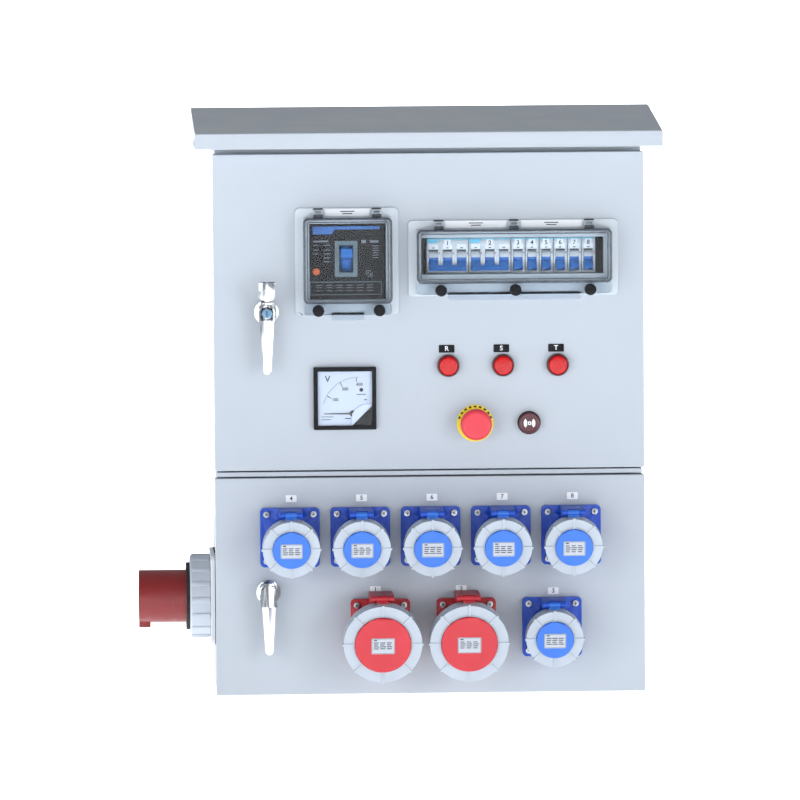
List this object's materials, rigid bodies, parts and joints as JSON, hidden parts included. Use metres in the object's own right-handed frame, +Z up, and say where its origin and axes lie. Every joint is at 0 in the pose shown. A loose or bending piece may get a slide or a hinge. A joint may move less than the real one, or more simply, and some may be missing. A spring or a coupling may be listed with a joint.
{
  "type": "portable power distribution box",
  "caption": "Floor or wall standing steel power distribution box with rain hood, two lockable doors, breakers behind clear windows, panel sockets and a side inlet.",
  "frame": {"origin": "middle of the body's bottom face, where it stands", "axes": "+Z up, -Y toward the front doors, +X to the right seen from the front"},
  "size_m": [0.67, 0.2978, 0.7468],
  "materials": {
    "body_paint": "light grey textured powder coat",
    "zinc_steel": "zinc plated",
    "chrome": "polished",
    "copper_alloy": "plain",
    "blue_plastic": "moulded",
    "blue_cap": "moulded",
    "red_plastic": "moulded",
    "red_cap": "moulded",
    "inlet_red": "moulded",
    "grey_plastic": "moulded",
    "white_plastic": "moulded",
    "black_plastic": "moulded",
    "toggle_blue": "moulded",
    "window_grey": "smoky translucent",
    "window_clear": "clear moulded",
    "seal_rubber": "foamed",
    "meter_black": "satin",
    "needle_black": "painted black",
    "lamp_red": "translucent lens",
    "estop_red": "satin",
    "estop_yellow": "satin"
  },
  "bodies": {
    "root": {"enclosure_shell": "body_paint", "rain_hood": "body_paint", "hinge_brackets": "zinc_steel", "mounting_plate": "zinc_steel", "din_rail": "zinc_steel", "terminal_bars": "copper_alloy", "mccb_body": "black_plastic", "mcb_bodies": "white_plastic", "inlet_flange": "grey_plastic", "inlet_sleeve": "inlet_red", "inlet_pins": "copper_alloy"},
    "inlet_ring": {"inlet_ring": "grey_plastic"},
    "mccb_toggle": {"mccb_toggle": "toggle_blue"},
    "upper_door": {"upper_door": "body_paint", "upper_door_seal": "seal_rubber", "mccb_window_frame": "window_grey", "mcb_window_frame": "window_grey", "meter_case": "meter_black", "signal_units": "lamp_red", "estop_body": "estop_yellow", "upper_lock_body": "chrome"},
    "mccb_window_lid": {"mccb_window_lid": "window_clear"},
    "mcb_window_lid": {"mcb_window_lid": "window_clear"},
    "meter_needle": {"meter_needle": "needle_black"},
    "estop_button": {"estop_button": "estop_red"},
    "upper_lever": {"upper_lever": "chrome"},
    "upper_lock_flap": {"upper_lock_flap": "chrome"},
    "lower_door": {"lower_door": "body_paint", "lower_door_seal": "seal_rubber", "blue_socket_housings": "blue_plastic", "red_socket_housings": "red_plastic", "socket_inserts": "black_plastic", "socket_screws": "zinc_steel", "lower_lock_body": "chrome"},
    "lower_lever": {"lower_lever": "chrome"},
    "lower_lock_flap": {"lower_lock_flap": "chrome"},
    "mcb_toggle_1": {"mcb_toggle_1": "toggle_blue"},
    "socket_lid_1": {"socket_lid_1": "red_cap"},
    "socket_ring_1": {"socket_ring_1": "grey_plastic"},
    "mcb_toggle_2": {"mcb_toggle_2": "toggle_blue"},
    "socket_lid_2": {"socket_lid_2": "red_cap"},
    "socket_ring_2": {"socket_ring_2": "grey_plastic"},
    "mcb_toggle_3": {"mcb_toggle_3": "toggle_blue"},
    "socket_lid_3": {"socket_lid_3": "blue_cap"},
    "socket_ring_3": {"socket_ring_3": "grey_plastic"},
    "mcb_toggle_4": {"mcb_toggle_4": "toggle_blue"},
    "socket_lid_4": {"socket_lid_4": "blue_cap"},
    "socket_ring_4": {"socket_ring_4": "grey_plastic"},
    "mcb_toggle_5": {"mcb_toggle_5": "toggle_blue"},
    "socket_lid_5": {"socket_lid_5": "blue_cap"},
    "socket_ring_5": {"socket_ring_5": "grey_plastic"},
    "mcb_toggle_6": {"mcb_toggle_6": "toggle_blue"},
    "socket_lid_6": {"socket_lid_6": "blue_cap"},
    "socket_ring_6": {"socket_ring_6": "grey_plastic"},
    "mcb_toggle_7": {"mcb_toggle_7": "toggle_blue"},
    "socket_lid_7": {"socket_lid_7": "blue_cap"},
    "socket_ring_7": {"socket_ring_7": "grey_plastic"},
    "mcb_toggle_8": {"mcb_toggle_8": "toggle_blue"},
    "socket_lid_8": {"socket_lid_8": "blue_cap"},
    "socket_ring_8": {"socket_ring_8": "grey_plastic"}
  },
  "joints": [
    {"name": "upper_door_hinge", "type": "hinge", "parent": "root", "child": "upper_door", "pos_m": [0.267, -0.102, 0.493], "axis": [0, 0, 1], "range_deg": [0, 105]},
    {"name": "lower_door_hinge", "type": "hinge", "parent": "root", "child": "lower_door", "pos_m": [0.267, -0.102, 0.142], "axis": [0, 0, 1], "range_deg": [0, 105]},
    {"name": "inlet_ring_twist", "type": "hinge", "parent": "root", "child": "inlet_ring", "pos_m": [-0.293, 0.005, 0.1195], "axis": [-1, 0, 0], "range_deg": [0, 45]},
    {"name": "mccb_toggle_throw", "type": "hinge", "parent": "root", "child": "mccb_toggle", "pos_m": [-0.1053, -0.084, 0.561], "axis": [1, 0, 0], "range_deg": [0, 24]},
    {"name": "mccb_window_hinge", "type": "hinge", "parent": "upper_door", "child": "mccb_window_lid", "pos_m": [-0.104, -0.119, 0.619], "axis": [-1, 0, 0], "range_deg": [0, 110]},
    {"name": "mcb_window_hinge", "type": "hinge", "parent": "upper_door", "child": "mcb_window_lid", "pos_m": [0.108, -0.119, 0.6027], "axis": [-1, 0, 0], "range_deg": [0, 110]},
    {"name": "meter_needle_swing", "type": "hinge", "parent": "upper_door", "child": "meter_needle", "pos_m": [-0.0984, -0.115, 0.3633], "axis": [0, 1, 0], "range_deg": [0, 90]},
    {"name": "estop_push", "type": "slide", "parent": "upper_door", "child": "estop_button", "axis": [0, 1, 0], "range_m": [0, 0.005], "stiffness_N_per_m": 900},
    {"name": "upper_lever_turn", "type": "hinge", "parent": "upper_door", "child": "upper_lever", "pos_m": [-0.208, -0.125, 0.494], "axis": [0, 1, 0], "range_deg": [0, 90]},
    {"name": "upper_flap_hinge", "type": "hinge", "parent": "upper_lever", "child": "upper_lock_flap", "pos_m": [-0.208, -0.141, 0.5075], "axis": [-1, 0, 0], "range_deg": [-155, 0]},
    {"name": "lower_lever_turn", "type": "hinge", "parent": "lower_door", "child": "lower_lever", "pos_m": [-0.208, -0.125, 0.135], "axis": [0, 1, 0], "range_deg": [0, 90]},
    {"name": "lower_flap_hinge", "type": "hinge", "parent": "lower_lever", "child": "lower_lock_flap", "pos_m": [-0.208, -0.141, 0.1485], "axis": [-1, 0, 0], "range_deg": [0, 110]},
    {"name": "mcb_toggle_1_throw", "type": "hinge", "parent": "root", "child": "mcb_toggle_1", "pos_m": [0.024, -0.1, 0.561], "axis": [-1, 0, 0], "range_deg": [0, 80]},
    {"name": "mcb_toggle_2_throw", "type": "hinge", "parent": "root", "child": "mcb_toggle_2", "pos_m": [0.078, -0.1, 0.561], "axis": [-1, 0, 0], "range_deg": [0, 80]},
    {"name": "mcb_toggle_3_throw", "type": "hinge", "parent": "root", "child": "mcb_toggle_3", "pos_m": [0.114, -0.1, 0.561], "axis": [-1, 0, 0], "range_deg": [0, 80]},
    {"name": "mcb_toggle_4_throw", "type": "hinge", "parent": "root", "child": "mcb_toggle_4", "pos_m": [0.132, -0.1, 0.561], "axis": [-1, 0, 0], "range_deg": [0, 80]},
    {"name": "mcb_toggle_5_throw", "type": "hinge", "parent": "root", "child": "mcb_toggle_5", "pos_m": [0.15, -0.1, 0.561], "axis": [-1, 0, 0], "range_deg": [0, 80]},
    {"name": "mcb_toggle_6_throw", "type": "hinge", "parent": "root", "child": "mcb_toggle_6", "pos_m": [0.168, -0.1, 0.561], "axis": [-1, 0, 0], "range_deg": [0, 80]},
    {"name": "mcb_toggle_7_throw", "type": "hinge", "parent": "root", "child": "mcb_toggle_7", "pos_m": [0.186, -0.1, 0.561], "axis": [-1, 0, 0], "range_deg": [0, 80]},
    {"name": "mcb_toggle_8_throw", "type": "hinge", "parent": "root", "child": "mcb_toggle_8", "pos_m": [0.204, -0.1, 0.561], "axis": [-1, 0, 0], "range_deg": [0, 80]},
    {"name": "socket_lid_1_hinge", "type": "hinge", "parent": "lower_door", "child": "socket_lid_1", "pos_m": [-0.065, -0.18122, 0.13165], "axis": [-1, 0, 0], "range_deg": [0, 110]},
    {"name": "socket_ring_1_twist", "type": "hinge", "parent": "socket_lid_1", "child": "socket_ring_1", "pos_m": [-0.065, -0.16912, 0.07743], "axis": [0, -0.9848, -0.1736], "range_deg": [0, 45]},
    {"name": "socket_lid_2_hinge", "type": "hinge", "parent": "lower_door", "child": "socket_lid_2", "pos_m": [0.045, -0.18122, 0.13165], "axis": [-1, 0, 0], "range_deg": [0, 110]},
    {"name": "socket_ring_2_twist", "type": "hinge", "parent": "socket_lid_2", "child": "socket_ring_2", "pos_m": [0.045, -0.16912, 0.07743], "axis": [0, -0.9848, -0.1736], "range_deg": [0, 45]},
    {"name": "socket_lid_3_hinge", "type": "hinge", "parent": "lower_door", "child": "socket_lid_3", "pos_m": [0.155, -0.16706, 0.12044], "axis": [-1, 0, 0], "range_deg": [0, 110]},
    {"name": "socket_ring_3_twist", "type": "hinge", "parent": "socket_lid_3", "child": "socket_ring_3", "pos_m": [0.155, -0.1573, 0.07951], "axis": [0, -0.9848, -0.1736], "range_deg": [0, 45]},
    {"name": "socket_lid_4_hinge", "type": "hinge", "parent": "lower_door", "child": "socket_lid_4", "pos_m": [-0.18, -0.16706, 0.23844], "axis": [-1, 0, 0], "range_deg": [0, 110]},
    {"name": "socket_ring_4_twist", "type": "hinge", "parent": "socket_lid_4", "child": "socket_ring_4", "pos_m": [-0.18, -0.1573, 0.19751], "axis": [0, -0.9848, -0.1736], "range_deg": [0, 45]},
    {"name": "socket_lid_5_hinge", "type": "hinge", "parent": "lower_door", "child": "socket_lid_5", "pos_m": [-0.09, -0.16706, 0.23844], "axis": [-1, 0, 0], "range_deg": [0, 110]},
    {"name": "socket_ring_5_twist", "type": "hinge", "parent": "socket_lid_5", "child": "socket_ring_5", "pos_m": [-0.09, -0.1573, 0.19751], "axis": [0, -0.9848, -0.1736], "range_deg": [0, 45]},
    {"name": "socket_lid_6_hinge", "type": "hinge", "parent": "lower_door", "child": "socket_lid_6", "pos_m": [0, -0.16706, 0.23844], "axis": [-1, 0, 0], "range_deg": [0, 110]},
    {"name": "socket_ring_6_twist", "type": "hinge", "parent": "socket_lid_6", "child": "socket_ring_6", "pos_m": [0, -0.1573, 0.19751], "axis": [0, -0.9848, -0.1736], "range_deg": [0, 45]},
    {"name": "socket_lid_7_hinge", "type": "hinge", "parent": "lower_door", "child": "socket_lid_7", "pos_m": [0.09, -0.16706, 0.23844], "axis": [-1, 0, 0], "range_deg": [0, 110]},
    {"name": "socket_ring_7_twist", "type": "hinge", "parent": "socket_lid_7", "child": "socket_ring_7", "pos_m": [0.09, -0.1573, 0.19751], "axis": [0, -0.9848, -0.1736], "range_deg": [0, 45]},
    {"name": "socket_lid_8_hinge", "type": "hinge", "parent": "lower_door", "child": "socket_lid_8", "pos_m": [0.18, -0.16706, 0.23844], "axis": [-1, 0, 0], "range_deg": [0, 110]},
    {"name": "socket_ring_8_twist", "type": "hinge", "parent": "socket_lid_8", "child": "socket_ring_8", "pos_m": [0.18, -0.1573, 0.19751], "axis": [0, -0.9848, -0.1736], "range_deg": [0, 45]}
  ]
}
